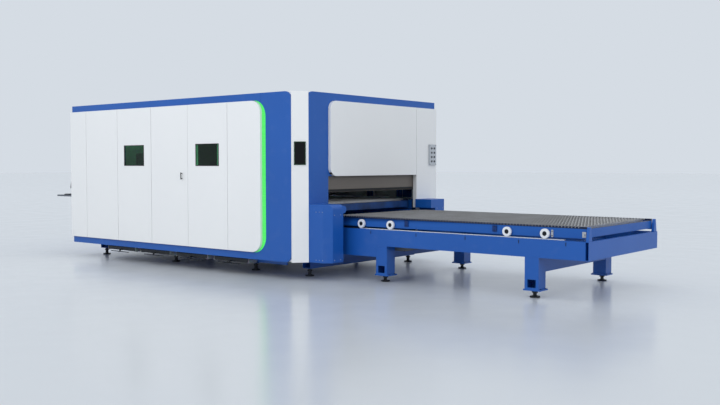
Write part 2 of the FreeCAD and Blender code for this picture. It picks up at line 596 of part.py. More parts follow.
def slat_shape(deck):
    """One slat standing across the pallet, with a toothed top edge."""
    low = deck + SLAT_LOW
    ear = deck + FRAME_H + 4
    top = deck + FRAME_H + 23
    inner = PALLET_HALF - SIDE_W - 2
    outer = PALLET_HALF
    teeth = 20
    step = 2 * inner / teeth
    points = [(-inner, low), (inner, low), (inner, ear), (outer, ear), (outer, top - 6), (inner, top - 6)]
    for k in range(teeth):
        y = inner - step * k
        points += [(y - step * 0.35, top), (y - step * 0.65, top)]
        if k < teeth - 1:
            points += [(y - step, top - 16)]
    points += [(-inner, top - 6), (-outer, top - 6), (-outer, ear), (-inner, ear)]
    return poly([(0, y, z) for y, z in points], (SLAT_T, 0, 0))


def slats(cx, deck):
    one = slat_shape(deck)
    out = []
    for k in range(SLATS):
        copy = one.copy()
        copy.translate(FreeCAD.Vector(cx + (k - (SLATS - 1) / 2) * SLAT_PITCH - SLAT_T / 2, 0, 0))
        out.append(copy)
    return out


def axle(x, deck):
    z = deck + WHEEL_R
    shaft = rod(AXLE_R, x, -TRACK_OUT - 2, z, 2 * TRACK_OUT + 4, (0, 1, 0))
    wheels = []
    for y in (-TRACK_OUT, TRACK_IN + 0.5):
        wheels.append(rod(WHEEL_R - 0.3, x, y, z, WHEEL_T - 0.5, (0, 1, 0)))
    return fuse([shaft] + wheels)


for name, cx, deck in (("b", PALLET_B, DECK + LEVEL), ("a", PALLET_A, DECK)):
    save("pallet_" + name + "_frame", pallet_frame(cx, deck) + both(comb(cx, deck)))
    save("pallet_" + name + "_slats", slats(cx, deck))
    for k, off in enumerate(AXLE_AT):
        save("axle_" + name + str(k + 1), [axle(cx + off, deck)])

# Brackets, hooks and plates on the outer pallet's side beams
fittings = []
PALLET_X1 = PALLET_A + PALLET_L / 2
for s in (-1, 1):
    y0 = min(s * PALLET_HALF, s * (PALLET_HALF + 10))
    y1 = max(s * PALLET_HALF, s * (PALLET_HALF + 10))
    for off in (AXLE_AT[1] + 188, AXLE_AT[2] - 181):
        x = PALLET_A + off
        fittings.append(box(x, x + 52, y0, y1, DECK + 40, DECK + 105))
    x = PALLET_A + AXLE_AT[3] + 62
    fittings.append(box(x, x + 22, y0, y1, DECK + 18, DECK + 90))
    hook = box(PALLET_X1 - 46, PALLET_X1 - 6, y0, y1, DECK + 28, DECK + 84)
    pin = rod(9, PALLET_X1 - 26, min(y0, s * (PALLET_HALF + 22)), DECK + 56, 22, (0, 1, 0))
    fittings.append(fuse([hook, pin]))
save("pallet_fittings", fittings)

# ---------------------------------------------------------------
# Exchange station: beams, skirts, legs, end beam, stops
# ---------------------------------------------------------------
ST_X1 = END_X + STATION_REACH
BEAM_Z0 = 412.0
BEAM_Z1 = DECK - 9
LEG = 156.0
LEG_X = [END_X + 744.0, ST_X1 - 612.0]
LEG_Z0 = 85.0
SKIRT_Z = 282.0
station = []
side = tube_x(END_X + 4, ST_X1 - 40, BEAM_IN, BEAM_OUT, BEAM_Z0, BEAM_Z1, 6)
skirt = box(FRAME_X, LEG_X[0] - LEG / 2, BEAM_OUT - 8, BEAM_OUT, SKIRT_Z, BEAM_Z0)
side = fuse([side, skirt])
station += both(side)
station.append(tube_y(ST_X1 - 40, ST_X1, -BEAM_OUT, BEAM_OUT, BEAM_Z0, BEAM_Z1, 5))
for x in LEG_X:
    y0 = -BEAM_OUT
    leg = tube_z(x - LEG / 2, x + LEG / 2, y0, y0 + LEG, LEG_Z0, BEAM_Z0, 8)
    leg = leg.cut(box(x - 47, x + 47, y0 - 1, y0 + 9, LEG_Z0 + 19, LEG_Z0 + 100))
    base = box(x - LEG / 2 - 18, x + LEG / 2 + 18, y0, y0 + LEG + 18, LEG_Z0 - 15, LEG_Z0)
    station += both(fuse([leg, base]))
    tie0 = x - LEG / 2 + 4 if x == LEG_X[0] else x + LEG / 2 - 12
    tie = box(tie0, tie0 + 8, y0 + LEG, -y0 - LEG, 258, BEAM_Z0)
    top = tube_y(x - 40, x + 40, -BEAM_IN, BEAM_IN, BEAM_Z0 + 10, BEAM_Z0 + 90, 5)
    station += [tie, top]
for s in (-1, 1):
    stop = [(ST_X1 - 36, s * (BEAM_OUT - 8), BEAM_Z1), (ST_X1 - 36, s * (BEAM_OUT - 92), BEAM_Z1),
            (ST_X1 - 36, s * (BEAM_OUT - 64), BEAM_Z1 + 140),
            (ST_X1 - 36, s * (BEAM_OUT - 36), BEAM_Z1 + 140)]
    station.append(poly(stop, (30, 0, 0)))
save("station_frame", station)

save("station_rails", both(box(RAIL_END, ST_X1 - 266, TRACK_IN, TRACK_OUT, DECK - 9, DECK)))

feet = []
for x in LEG_X:
    for y in (-BEAM_OUT + LEG / 2, BEAM_OUT - LEG / 2):
        pad = rod(52, x, y, 0, 15, (0, 0, 1))
        stem = rod(18, x, y, 15, LEG_Z0 - 30, (0, 0, 1))
        nut = rod(30, x, y, 45, 16, (0, 0, 1))
        feet.append(fuse([pad, stem, nut]))
save("station_feet", feet)

mx = LEG_X[0] + 40.0
my = -BEAM_OUT + LEG + 7
gearbox = box(mx, mx + 170, my, my + 170, BEAM_Z0 - 60, BEAM_Z0 + 88)
motor = rod(70, mx + 85, my + 169, BEAM_Z0 + 10, 271, (0, 1, 0))
save("drive_motor", [fuse([gearbox, motor])])

# ---------------------------------------------------------------
# Chip trays under the near floor pan
# ---------------------------------------------------------------
for k, x in enumerate(SEAM[:4][::-1]):
    tray = box(x - TRAY_L / 2, x + TRAY_L / 2, TRAY_Y0, TRAY_Y1, TRAY_Z0, TRAY_Z1)
    tray = tray.cut(box(x - TRAY_L / 2 + 3, x + TRAY_L / 2 - 3, TRAY_Y0 + 3, TRAY_Y1 - 3,
                        TRAY_Z0 + 3, TRAY_Z1 + 1))
    neck = box(x - 12, x + 12, TRAY_Y0 - 34, TRAY_Y0, TRAY_Z0, TRAY_Z0 + 14)
    drop = box(x - 12, x + 12, TRAY_Y0 - 34, TRAY_Y0 - 22, 122, TRAY_Z0 + 14)
    bar = rod(6, x - TRAY_L / 2 + 110, TRAY_Y0 - 28, 128, TRAY_L - 220, (1, 0, 0))
    save("tray_" + str(k + 1), [fuse([tray, neck, drop, bar])])

# ---------------------------------------------------------------
# Operator console on the rear wall
# ---------------------------------------------------------------
CON_X = REAR_X - 310.0
CON_Y0 = -1249.0
CON_Y1 = -779.0
shell = box(CON_X, REAR_X, CON_Y0 + 20, CON_Y1 - 20, 700, 960)
keys = box(REAR_X - CONSOLE_REACH, CON_X, CON_Y0, CON_Y1, 858, 880)
PIVOT_X = CON_X + 60.0
PIVOT_Z = 1105.0
mid_y = (CON_Y0 + CON_Y1) / 2
mast = box(PIVOT_X - 20, PIVOT_X + 20, mid_y - 60, mid_y + 60, 960, PIVOT_Z - 40)
ears = []
for y in (mid_y - 60, mid_y + 40):
    ears.append(box(PIVOT_X - 20, PIVOT_X + 20, y, y + 20, PIVOT_Z - 40, PIVOT_Z + 20))
spindle = rod(8, PIVOT_X, mid_y - 60, PIVOT_Z, 120, (0, 1, 0))
save("console", [fuse([shell, keys, mast, spindle] + ears)])

SLAB_X = PIVOT_X - 75.0
lug = box(SLAB_X + 35, PIVOT_X + 18, mid_y - 39.5, mid_y + 39.5, PIVOT_Z - 18, PIVOT_Z + 18)
slab = box(SLAB_X, SLAB_X + 36, CON_Y0, CON_Y1, PIVOT_Z - 135, PIVOT_Z + 135)
glass = box(SLAB_X - 1, SLAB_X + 2, CON_Y0 + 15, CON_Y1 - 15, PIVOT_Z - 120, PIVOT_Z + 120)
monitor = fuse([slab.cut(glass), lug]).cut(rod(8.08, PIVOT_X, mid_y - 60, PIVOT_Z, 120, (0, 1, 0)))
monitor.rotate(FreeCAD.Vector(PIVOT_X, mid_y, PIVOT_Z), FreeCAD.Vector(0, 1, 0), 12)
save("monitor", [monitor])
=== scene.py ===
import math

import bpy
from mathutils import Matrix, Vector


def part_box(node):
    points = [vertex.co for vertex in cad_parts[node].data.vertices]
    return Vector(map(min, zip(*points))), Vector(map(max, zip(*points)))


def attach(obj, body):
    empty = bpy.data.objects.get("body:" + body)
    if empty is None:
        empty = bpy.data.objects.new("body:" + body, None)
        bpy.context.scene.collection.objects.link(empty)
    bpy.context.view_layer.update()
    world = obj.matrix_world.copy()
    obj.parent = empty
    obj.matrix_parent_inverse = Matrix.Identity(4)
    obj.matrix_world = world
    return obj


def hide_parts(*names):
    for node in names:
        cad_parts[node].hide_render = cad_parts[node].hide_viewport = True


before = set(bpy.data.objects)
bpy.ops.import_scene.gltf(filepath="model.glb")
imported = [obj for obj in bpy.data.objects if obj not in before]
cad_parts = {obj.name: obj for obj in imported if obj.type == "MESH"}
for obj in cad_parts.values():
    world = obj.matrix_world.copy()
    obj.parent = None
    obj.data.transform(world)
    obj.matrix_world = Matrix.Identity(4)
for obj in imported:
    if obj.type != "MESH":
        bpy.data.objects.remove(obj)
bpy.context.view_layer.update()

# ---------------------------------------------------------------
# The hall: a pale sealed floor, an even pale sky, three large soft
# lamps and a small one inside the cutting chamber. The camera
# stands off the door side, looking towards the station.
# ---------------------------------------------------------------


class Wire:
    """One output in a finish. Arithmetic on it adds Math nodes."""

    def __init__(self, finish, socket):
        self.finish = finish
        self.socket = socket

    def maths(self, operation, a, b):
        return self.finish.node("ShaderNodeMath", {"operation": operation}, {0: a, 1: b})

    def __add__(self, other):
        return self.maths("ADD", self, other)

    __radd__ = __add__

    def __sub__(self, other):
        return self.maths("SUBTRACT", self, other)

    def __rsub__(self, other):
        return self.maths("SUBTRACT", other, self)

    def __mul__(self, other):
        return self.maths("MULTIPLY", self, other)

    __rmul__ = __mul__


def tone(red, green, blue):
    """A colour named by its 0 to 255 values, as linear light."""
    out = []
    for value in (red, green, blue):
        v = value / 255
        out.append(v / 12.92 if v <= 0.04045 else ((v + 0.055) / 1.055) ** 2.4)
    return (*out, 1.0)


class Finish:
    """A paint, metal, glass or plastic, built node by node."""

    def __init__(self, name, constants):
        self.material = bpy.data.materials.new(name)
        self.material.use_nodes = True
        self.tree = self.material.node_tree
        self.shader = self.tree.nodes["Principled BSDF"]
        for socket, value in constants.items():
            self.shader.inputs[socket].default_value = value
        self.place = self.node("ShaderNodeTexCoord", out="Object")

    def node(self, kind, settings=None, inputs=None, out=0):
        made = self.tree.nodes.new(kind)
        for key, value in (settings or {}).items():
            setattr(made, key, value)
        for key, value in (inputs or {}).items():
            if isinstance(value, Wire):
                self.tree.links.new(value.socket, made.inputs[key])
            else:
                made.inputs[key].default_value = value
        return Wire(self, made.outputs[out])

    def noise(self, scale, detail=3.0, place=None):
        spot = place or self.place
        return self.node("ShaderNodeTexNoise", {}, {"Vector": spot, "Scale": scale, "Detail": detail})

    def stretched(self, x, y, z):
        return self.node("ShaderNodeMapping", {}, {"Vector": self.place, "Scale": (x, y, z)})

    def mix(self, factor, a, b):
        return self.node("ShaderNodeMix", {"data_type": "RGBA"}, {0: factor, 6: a, 7: b}, 2)

    def step(self, value, low, high):
        return self.node("ShaderNodeMapRange", {}, {"Value": value, "From Min": low, "From Max": high})

    def bump(self, height, distance, strength=1.0):
        return self.node("ShaderNodeBump", {}, {"Height": height, "Distance": distance, "Strength": strength})

    def feed(self, **wires):
        for socket, wire in wires.items():
            self.tree.links.new(wire.socket, self.shader.inputs[socket.replace("_", " ")])
        return self


def only(piece):
    """One piece alone is selected and active."""
    bpy.ops.object.select_all(action="DESELECT")
    piece.select_set(True)
    bpy.context.view_layer.objects.active = piece


sealed_floor = Finish("sealed_floor", {"Specular IOR Level": 0.35})
cast = sealed_floor.noise(0.35, 2.0)
sealed_floor.feed(Base_Color=sealed_floor.mix(cast, tone(243, 244, 245), tone(247, 248, 248)),
                  Roughness=0.16 + sealed_floor.noise(2.2) * 0.10)
bpy.ops.object.select_all(action="DESELECT")
bpy.ops.mesh.primitive_plane_add(size=1, location=(0, 0, -0.002), scale=(1, 1, 1))
hall_floor = bpy.context.object
hall_floor.name = "hall_floor"
hall_floor.data.transform(Matrix.Diagonal((240, 240, 1, 1)))
hall_floor.data.transform(Matrix.Translation(hall_floor.location))
hall_floor.location = (0, 0, 0)
hall_floor.data.materials.append(sealed_floor.material)

bpy.context.scene.view_settings.view_transform = "Standard"
hall = bpy.data.worlds.new("hall_air")
bpy.context.scene.world = hall
hall.use_nodes = True
hall.node_tree.nodes["Background"].inputs["Color"].default_value = tone(213, 220, 228)
hall.node_tree.nodes["Background"].inputs["Strength"].default_value = 1.0
lamplight = bpy.data.collections.new("lamplight")
lamplight.objects.link(hall_floor)
lamplight.collection_objects[0].light_linking.link_state = "EXCLUDE"


def softbox(name, at, aim, size, power):
    lamp = bpy.data.objects.new(name, bpy.data.lights.new(name, "AREA"))
    lamp.data.shape = "RECTANGLE"
    lamp.data.size = size[0]
    lamp.data.size_y = size[1]
    lamp.data.energy = power
    lamp.location = at
    lamp.rotation_euler = (Vector(aim) - Vector(at)).to_track_quat("-Z", "Y").to_euler()
    lamp.visible_glossy = False
    lamp.light_linking.receiver_collection = lamplight
    bpy.context.scene.collection.objects.link(lamp)


softbox("door_side_softbox", (-0.5, -10.5, 6.0), (-0.8, -1.0, 1.2), (10.0, 5.0), 380)
softbox("station_softbox", (11.0, -3.5, 5.5), (1.0, 0.0, 1.4), (6.0, 5.0), 190)
softbox("overhead_softbox", (0.5, 0.0, 8.5), (0.5, 0.0, 0.0), (11.0, 6.0), 90)
softbox("chamber_lamp", (-2.30, -1.00, 2.05), (-2.73, -0.95, 1.40), (0.30, 0.10), 5)

camera = bpy.data.objects.new("hall_camera", bpy.data.cameras.new("hall_camera"))
camera.data.sensor_width = 36.0
camera.data.lens = 43.75
camera.location = (7.888, -8.809, 1.350)
camera.rotation_euler = (math.radians(90 - 2.506), 0.0, math.radians(39.1))
camera.data.clip_end = 400.0
bpy.context.scene.collection.objects.link(camera)
bpy.context.scene.camera = camera

# ---------------------------------------------------------------
# Machine bed: welded box beams, cross beams and foot tubes in
# plate, stress relieved and powder coated blue. The floor pans,
# tray runners, partition and gate guides bolt to it.
# ---------------------------------------------------------------


def merged(node, name):
    """A copy of a solid with its facets welded and its flats whole."""
    piece = bpy.data.objects.new(name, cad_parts[node].data.copy())
    bpy.context.scene.collection.objects.link(piece)
    only(piece)
    if piece.data.has_custom_normals:
        bpy.ops.mesh.customdata_custom_splitnormals_clear()
    bpy.ops.object.mode_set(mode="EDIT")
    bpy.ops.mesh.select_all(action="SELECT")
    bpy.ops.mesh.remove_doubles(threshold=0.00002)
    bpy.ops.mesh.dissolve_limited(angle_limit=math.radians(0.6))
    bpy.ops.object.mode_set(mode="OBJECT")
    return piece


def broken(piece, width, segments=2):
    """Sharp edges are broken with a small round; the flats stay flat."""
    only(piece)
    edge = piece.modifiers.new("edge", "BEVEL")
    edge.width = width
    edge.segments = segments
    edge.limit_method = "ANGLE"
    edge.angle_limit = math.radians(32)
    bpy.ops.object.modifier_apply(modifier=edge.name)
    bpy.ops.object.shade_smooth_by_angle(angle=math.radians(38))
    flats = piece.modifiers.new("flats", "WEIGHTED_NORMAL")
    flats.keep_sharp = True
    bpy.ops.object.modifier_apply(modifier=flats.name)
    return piece


def done(piece, body, slot, finish, *nodes):
    """The piece gets its finish, its body and the solids it stands for."""
    piece.data.materials.clear()
    piece.data.materials.append(finish.material)
    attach(piece, body)
    if nodes:
        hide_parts(*nodes)
    return piece


def dressed(node, finish):
    """A solid whose shape is right keeps it and gets a finish."""
    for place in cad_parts[node].material_slots:
        place.material = finish.material


def powder_coat(name, light, deep, gloss, coat):
    """Sprayed powder: slow drift in shade, fine orange peel, faint dust."""
    paint = Finish(name, {"Coat Weight": coat, "Coat Roughness": 0.10, "IOR": 1.5})
    drift = paint.noise(0.9, 2.0)
    peel = paint.noise(260.0, 2.0)
    dust = paint.step(paint.noise(7.0, 6.0), 0.55, 0.95)
    shade = paint.mix(drift, light, deep)
    dusty = paint.mix(dust * 0.05, shade, tone(196, 200, 205))
    return paint.feed(Base_Color=dusty, Roughness=gloss + dust * 0.12 + drift * 0.04,
                      Normal=paint.bump(peel, 0.0002, 0.35))


blue_paint = powder_coat("blue_powder_coat", tone(22, 92, 178), tone(18, 82, 164), 0.40, 0.06)
done(broken(merged("bed_frame", "bed_weldment"), 0.002), "machine", "blue_paint", blue_paint, "bed_frame")

folded_zinc = Finish("folded_zinc_sheet", {"Metallic": 0.55})
spangle = folded_zinc.node("ShaderNodeTexVoronoi", {}, {"Vector": folded_zinc.place, "Scale": 55.0}, "Color")
folded_zinc.feed(Base_Color=folded_zinc.mix(0.16, tone(150, 155, 162), spangle),
                 Roughness=0.42 + folded_zinc.noise(12.0) * 0.2)
done(broken(merged("inner_sheetwork", "pans_runners_partition"), 0.001), "machine", "grey_steel", folded_zinc,
     "inner_sheetwork")

# ---------------------------------------------------------------
# Levelling feet: turned pads on threaded stems with a hexagon
# lock nut, blackened steel. They screw into the foot tubes of the
# bed and into the station legs.
# ---------------------------------------------------------------


def block(name, low, high):
    """A block at its size and place."""
    bpy.ops.object.select_all(action="DESELECT")
    middle = [(a + b) / 2 for a, b in zip(low, high)]
    bpy.ops.mesh.primitive_cube_add(size=1, location=middle, scale=[b - a for a, b in zip(low, high)])
    piece = bpy.context.object
    piece.name = name
    bpy.ops.object.transform_apply(location=True, rotation=True, scale=True)
    return piece


def bar(name, start, end, radius, sides=32, tip=None):
    """A round bar, or a taper where the tip has its own radius."""
    bpy.ops.object.select_all(action="DESELECT")
    start = Vector(start)
    end = Vector(end)
    turn = (end - start).to_track_quat("Z", "Y").to_euler()
    bpy.ops.mesh.primitive_cone_add(vertices=sides, radius1=radius, radius2=radius if tip is None else tip,
                                    depth=(end - start).length, location=(start + end) / 2, rotation=turn)
    piece = bpy.context.object
    piece.name = name
    bpy.ops.object.transform_apply(location=True, rotation=True, scale=True)
    return piece


def sunk(piece, test, rim, depth):
    """Faces that pass the test are inset by the rim, then pushed in or out."""
    only(piece)
    bpy.ops.object.mode_set(mode="EDIT")
    bpy.ops.mesh.select_mode(type="FACE")
    bpy.ops.mesh.select_all(action="DESELECT")
    bpy.ops.object.mode_set(mode="OBJECT")
    for face in piece.data.polygons:
        face.select = test(face.center, face.normal)
    bpy.ops.object.mode_set(mode="EDIT")
    if rim:
        bpy.ops.mesh.inset(thickness=rim, depth=0.0)
    if depth:
        bpy.ops.mesh.inset(thickness=0.00001, depth=depth)
    bpy.ops.object.mode_set(mode="OBJECT")
    return piece


def joined(name, pieces):
    """Several pieces become one."""
    bpy.ops.object.select_all(action="DESELECT")
    for piece in pieces:
        piece.select_set(True)
    bpy.context.view_layer.objects.active = pieces[0]
    if len(pieces) > 1:
        bpy.ops.object.join()
    bpy.context.object.name = name
    return bpy.context.object


def again(piece, move):
    """A copy with its own mesh, moved."""
    twin = piece.copy()
    twin.data = piece.data.copy()
    twin.data.transform(Matrix.Translation(Vector(move)))
    bpy.context.scene.collection.objects.link(twin)
    return twin


def levelling_foot(x, y, pad, height, stem, nut, lock, top):
    at = Vector((x, y, 0))
    disc = bar("foot_pad", at, at + Vector((0, 0, height)), pad, 48)
    sunk(disc, lambda c, n: n.z > 0.9, pad * 0.45, 0.006)
    parts = [broken(disc, 0.002)]
    parts.append(bar("foot_stem", at + Vector((0, 0, height)), at + Vector((0, 0, top)), stem, 32))
    z = height + 0.008
    while z < top - 0.004:
        if not lock - 0.004 < z < lock + 0.018:
            crest = at + Vector((0, 0, z))
            parts.append(bar("foot_thread", crest, crest + Vector((0, 0, 0.002)), stem + 0.0014, 24))
        z += 0.0045
    hexagon = bar("foot_nut", at + Vector((0, 0, lock)), at + Vector((0, 0, lock + 0.016)), nut, 6)
    parts.append(broken(hexagon, 0.0015))
    return joined("levelling_foot", parts)


blackened = Finish("blackened_steel", {"Metallic": 0.85})
blackened.feed(Base_Color=blackened.mix(blackened.noise(18.0, 5.0), tone(38, 41, 46), tone(62, 64, 68)),
               Roughness=0.34 + blackened.noise(40.0) * 0.2,
               Normal=blackened.bump(blackened.noise(300.0), 0.0003, 0.4))
foot_x = [-3.366, -1.744, -0.162, 0.768]
foot_y = 1.010
first = levelling_foot(foot_x[0], -foot_y, 0.055, 0.013, 0.020, 0.032, 0.060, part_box("bed_feet")[1].z)
feet = [first] + [again(first, (x - foot_x[0], y + foot_y, 0)) for x in foot_x for y in (-foot_y, foot_y)
                  if (x, y) != (foot_x[0], -foot_y)]
done(joined("bed_levelling_feet", feet), "machine", "black_steel", blackened, "bed_feet")
leg_x = (1.774, 3.688)
leg_y = 0.820
first = levelling_foot(leg_x[0], -leg_y, 0.052, 0.012, 0.018, 0.030, 0.045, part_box("station_feet")[1].z)
feet = [first] + [again(first, (x - leg_x[0], y + leg_y, 0))
                  for x, y in ((leg_x[1], -leg_y), (leg_x[0], leg_y), (leg_x[1], leg_y))]
done(joined("station_levelling_feet", feet), "machine", "black_steel", blackened, "station_feet")

# ---------------------------------------------------------------
# Gas control box: a dark coated steel box with a raised door,
# bolted on the partition inside the chamber.
# ---------------------------------------------------------------
gas_box = block("gas_control_box", (-2.7305, -0.930, 1.000), (-2.600, -0.500, 1.505))
sunk(gas_box, lambda c, n: n.x > 0.9, 0.012, 0.004)
box_coat = powder_coat("dark_control_box_coat", tone(44, 50, 60), tone(36, 42, 52), 0.45, 0.0)
done(broken(gas_box, 0.004, 3), "machine", "cabinet_grey", box_coat)

# ---------------------------------------------------------------
# Blue frames of the enclosure: laser cut and folded 3 mm sheet on
# square posts, powder coated. A parting line crosses the upper
# band where the column sheet meets the band sheet.
# ---------------------------------------------------------------


def grooved(piece, x, width, depth, test):
    """A narrow groove across the faces that pass the test."""
    for at in (x - width / 2, x + width / 2):
        only(piece)
        bpy.ops.object.mode_set(mode="EDIT")
        bpy.ops.mesh.select_all(action="SELECT")
        bpy.ops.mesh.bisect(plane_co=(at, 0, 0), plane_no=(1, 0, 0))
        bpy.ops.object.mode_set(mode="OBJECT")
    return sunk(piece, lambda c, n: abs(c.x - x) < width / 2 and test(c, n), 0, -depth)


side_sheets = merged("side_frames", "blue_side_sheets")
grooved(side_sheets, 0.352, 0.0025, 0.002, lambda c, n: c.z > 2.1 and abs(n.y) > 0.9 and abs(c.y) > 1.42)
done(broken(side_sheets, 0.0025), "machine", "blue_paint", blue_paint, "side_frames")
done(broken(merged("end_frame", "blue_end_sheet"), 0.0025), "machine", "blue_paint", blue_paint, "end_frame")

# ---------------------------------------------------------------
# White cladding: folded cassettes of 1.5 mm sheet hung on the
# posts, powder coated a cool white. The corner sheets between the
# blue frames are the same.
# ---------------------------------------------------------------
white_paint = powder_coat("white_powder_coat", tone(241, 241, 240), tone(236, 236, 236), 0.30, 0.4)
done(broken(merged("side_panels_near", "white_cladding_near"), 0.003, 3), "machine", "white_paint", white_paint,
     "side_panels_near")
done(broken(merged("side_panels_far", "white_cladding_far"), 0.003, 3), "machine", "white_paint", white_paint,
     "side_panels_far")
done(broken(merged("corner_panels", "white_corner_sheets"), 0.002), "machine", "white_paint", white_paint,
     "corner_panels")
done(broken(merged("end_panels", "white_end_cladding"), 0.003, 3), "machine", "white_paint", white_paint,
     "end_panels")

# ---------------------------------------------------------------
# Service doors: two cassettes like the cladding, each on hidden
# hinges along its outer edge. Pressed hat channels stiffen the
# inside; the left door carries a slim black pull.
# ---------------------------------------------------------------
for door in ("door_left", "door_right"):
    leaf = broken(merged(door, door + "_leaf"), 0.003, 3)
    done(leaf, door, "white_paint", white_paint, door)
    low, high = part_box(door)
    ribs = []
    for x in (low.x + 0.16, high.x - 0.16):
        rib = block("hat_channel", (x - 0.03, low.y + 0.0062, low.z + 0.06),
                    (x + 0.03, low.y + 0.030, high.z - 0.06))
        sunk(rib, lambda c, n: n.y > 0.9, 0.012, 0.006)
        ribs.append(broken(rib, 0.002))
    done(joined(door + "_stiffeners", ribs), door, "white_paint", white_paint)

black_plastic = Finish("black_moulded_plastic", {"IOR": 1.46})
black_plastic.feed(Base_Color=black_plastic.mix(black_plastic.noise(30.0), tone(22, 24, 27), tone(34, 36, 40)),
                   Roughness=0.38 + black_plastic.noise(60.0) * 0.15,
                   Normal=black_plastic.bump(black_plastic.noise(700.0, 1.0), 0.0003, 0.5))
low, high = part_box("door_handle")
x = (low.x + high.x) / 2
grip = block("pull_grip", (x - 0.0055, low.y, low.z + 0.006), (x + 0.0055, low.y + 0.011, high.z - 0.006))
pull = [broken(grip, 0.004, 4)]
for z in (low.z + 0.018, high.z - 0.018):
    neck = block("pull_neck", (x - 0.0045, low.y + 0.008, z - 0.006), (x + 0.0045, high.y - 0.002, z + 0.006))
    pull.append(broken(neck, 0.002))
seat = block("pull_plate", (low.x, high.y - 0.005, low.z), (high.x, high.y, high.z))
sunk(seat, lambda c, n: n.y < -0.9, 0.003, 0.001)
done(broken(seat, 0.0015), "door_left", "white_paint", white_paint)
done(joined("door_pull", pull), "door_left", "black_steel", black_plastic, "door_handle")

# ---------------------------------------------------------------
# Viewing windows: laser-safe green acrylic behind the cladding,
# held by a black rubber profile pressed round each cut-out.
# ---------------------------------------------------------------
laser_glass = Finish("laser_safety_acrylic", {"Transmission Weight": 1.0, "IOR": 1.28})
laser_glass.feed(Base_Color=laser_glass.mix(laser_glass.noise(2.0), tone(78, 160, 108), tone(70, 152, 100)),
                 Roughness=0.015 + laser_glass.noise(30.0) * 0.02)
rubber = Finish("black_rubber", {"IOR": 1.5})
rubber.feed(Base_Color=rubber.mix(rubber.noise(25.0), tone(20, 21, 23), tone(36, 37, 39)),
            Roughness=0.6 + rubber.noise(80.0) * 0.2, Normal=rubber.bump(rubber.noise(500.0), 0.0002, 0.5))
for node, body in (("window_fixed", "machine"), ("window_door", "door_right")):
    low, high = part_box(node)
    sheet = block(node + "_pane", low, high)
    done(broken(sheet, 0.0012), body, "window_glass", laser_glass, node)
    seal = block(node + "_seal", (low.x + 0.015, low.y - 0.008, low.z + 0.015),
                 (high.x - 0.015, low.y, high.z - 0.015))
    only(seal)
    sunk(seal, lambda c, n: abs(n.y) > 0.9, 0.009, 0)
    bpy.ops.object.mode_set(mode="EDIT")
    bpy.ops.mesh.bridge_edge_loops()
    bpy.ops.object.mode_set(mode="OBJECT")
    done(broken(seal, 0.002), body, "black_steel", rubber)

# ---------------------------------------------------------------
# Light strips: green diode tape under a milky moulded cover, let
# into the gap between the last cladding panel and the column.
# ---------------------------------------------------------------
green_glow = Finish("green_diode_cover", {"Emission Strength": 1.0, "Roughness": 0.35})
diodes = green_glow.step(green_glow.noise(60.0, 1.0, green_glow.stretched(0.2, 0.2, 1.0)), 0.2, 0.8)
green_glow.feed(Base_Color=green_glow.mix(diodes, tone(18, 90, 34), tone(24, 104, 42)),
                Emission_Color=green_glow.mix(diodes, tone(72, 222, 92), tone(84, 232, 104)))
done(broken(merged("light_strips", "green_light_strips"), 0.001), "machine", "light_strip", green_glow,
     "light_strips")

# ---------------------------------------------------------------
# Status screen: a flush display in a thin moulded surround, fixed
# to the near corner sheet. It stays dark, with a green rim light.
# ---------------------------------------------------------------
corner_turn = math.atan2(0.156, 0.143)
low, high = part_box("status_screen")
screen_place = (Matrix.Translation((low + high) / 2) @ Matrix.Rotation(corner_turn, 4, "Z"))
dark_surround = Finish("dark_green_surround", {"Emission Strength": 0.35, "IOR": 1.46})
mottle = dark_surround.noise(40.0)
dark_surround.feed(Base_Color=dark_surround.mix(mottle, tone(14, 38, 22), tone(20, 50, 28)),
                   Emission_Color=dark_surround.mix(mottle, tone(10, 56, 24), tone(14, 66, 30)),
                   Roughness=0.4 + dark_surround.noise(60.0) * 0.1)
done(broken(merged("status_screen", "screen_surround"), 0.0012), "machine", "screen_black", dark_surround,
     "status_screen")
black_glass = Finish("black_display_glass", {"Specular IOR Level": 0.18})
black_glass.feed(Base_Color=black_glass.mix(black_glass.noise(6.0), tone(8, 9, 11), tone(12, 13, 16)),
                 Roughness=0.12 + black_glass.noise(18.0) * 0.06)
display = block("screen_glass", (-0.0585, -0.0045, -0.1265), (0.0585, -0.0005, 0.1265))
broken(display, 0.001)
display.data.transform(screen_place)
done(display, "machine", "screen_black", black_glass)

# ---------------------------------------------------------------
# Push button station: a plain satin plate on the end
# cladding with eight spring buttons in chromed collars.
# ---------------------------------------------------------------
satin_plate = Finish("satin_aluminium", {"Metallic": 0.9})
grain = satin_plate.noise(90.0, 2.0, satin_plate.stretched(1.0, 1.0, 14.0))
satin_plate.feed(Base_Color=satin_plate.mix(grain, tone(190, 194, 199), tone(206, 209, 213)),
                 Roughness=0.34 + grain * 0.12, Normal=satin_plate.bump(grain, 0.00008, 0.5))
done(broken(merged("button_plate", "button_station_plate"), 0.0025), "machine", "plate_grey", satin_plate,
     "button_plate")
low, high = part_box("button_plate")
face = high.x
cap_screws = []
for y in (low.y + 0.010, high.y - 0.010):
    for z in (low.z + 0.010, high.z - 0.010):
        head = bar("plate_screw", (face - 0.001, y, z), (face + 0.0022, y, z), 0.0045, 16)
        sunk(head, lambda c, n: n.x > 0.9, 0.0022, -0.0015)
        cap_screws.append(broken(head, 0.0006))
done(joined("button_plate_screws", cap_screws), "machine", "fitting_steel", blackened)
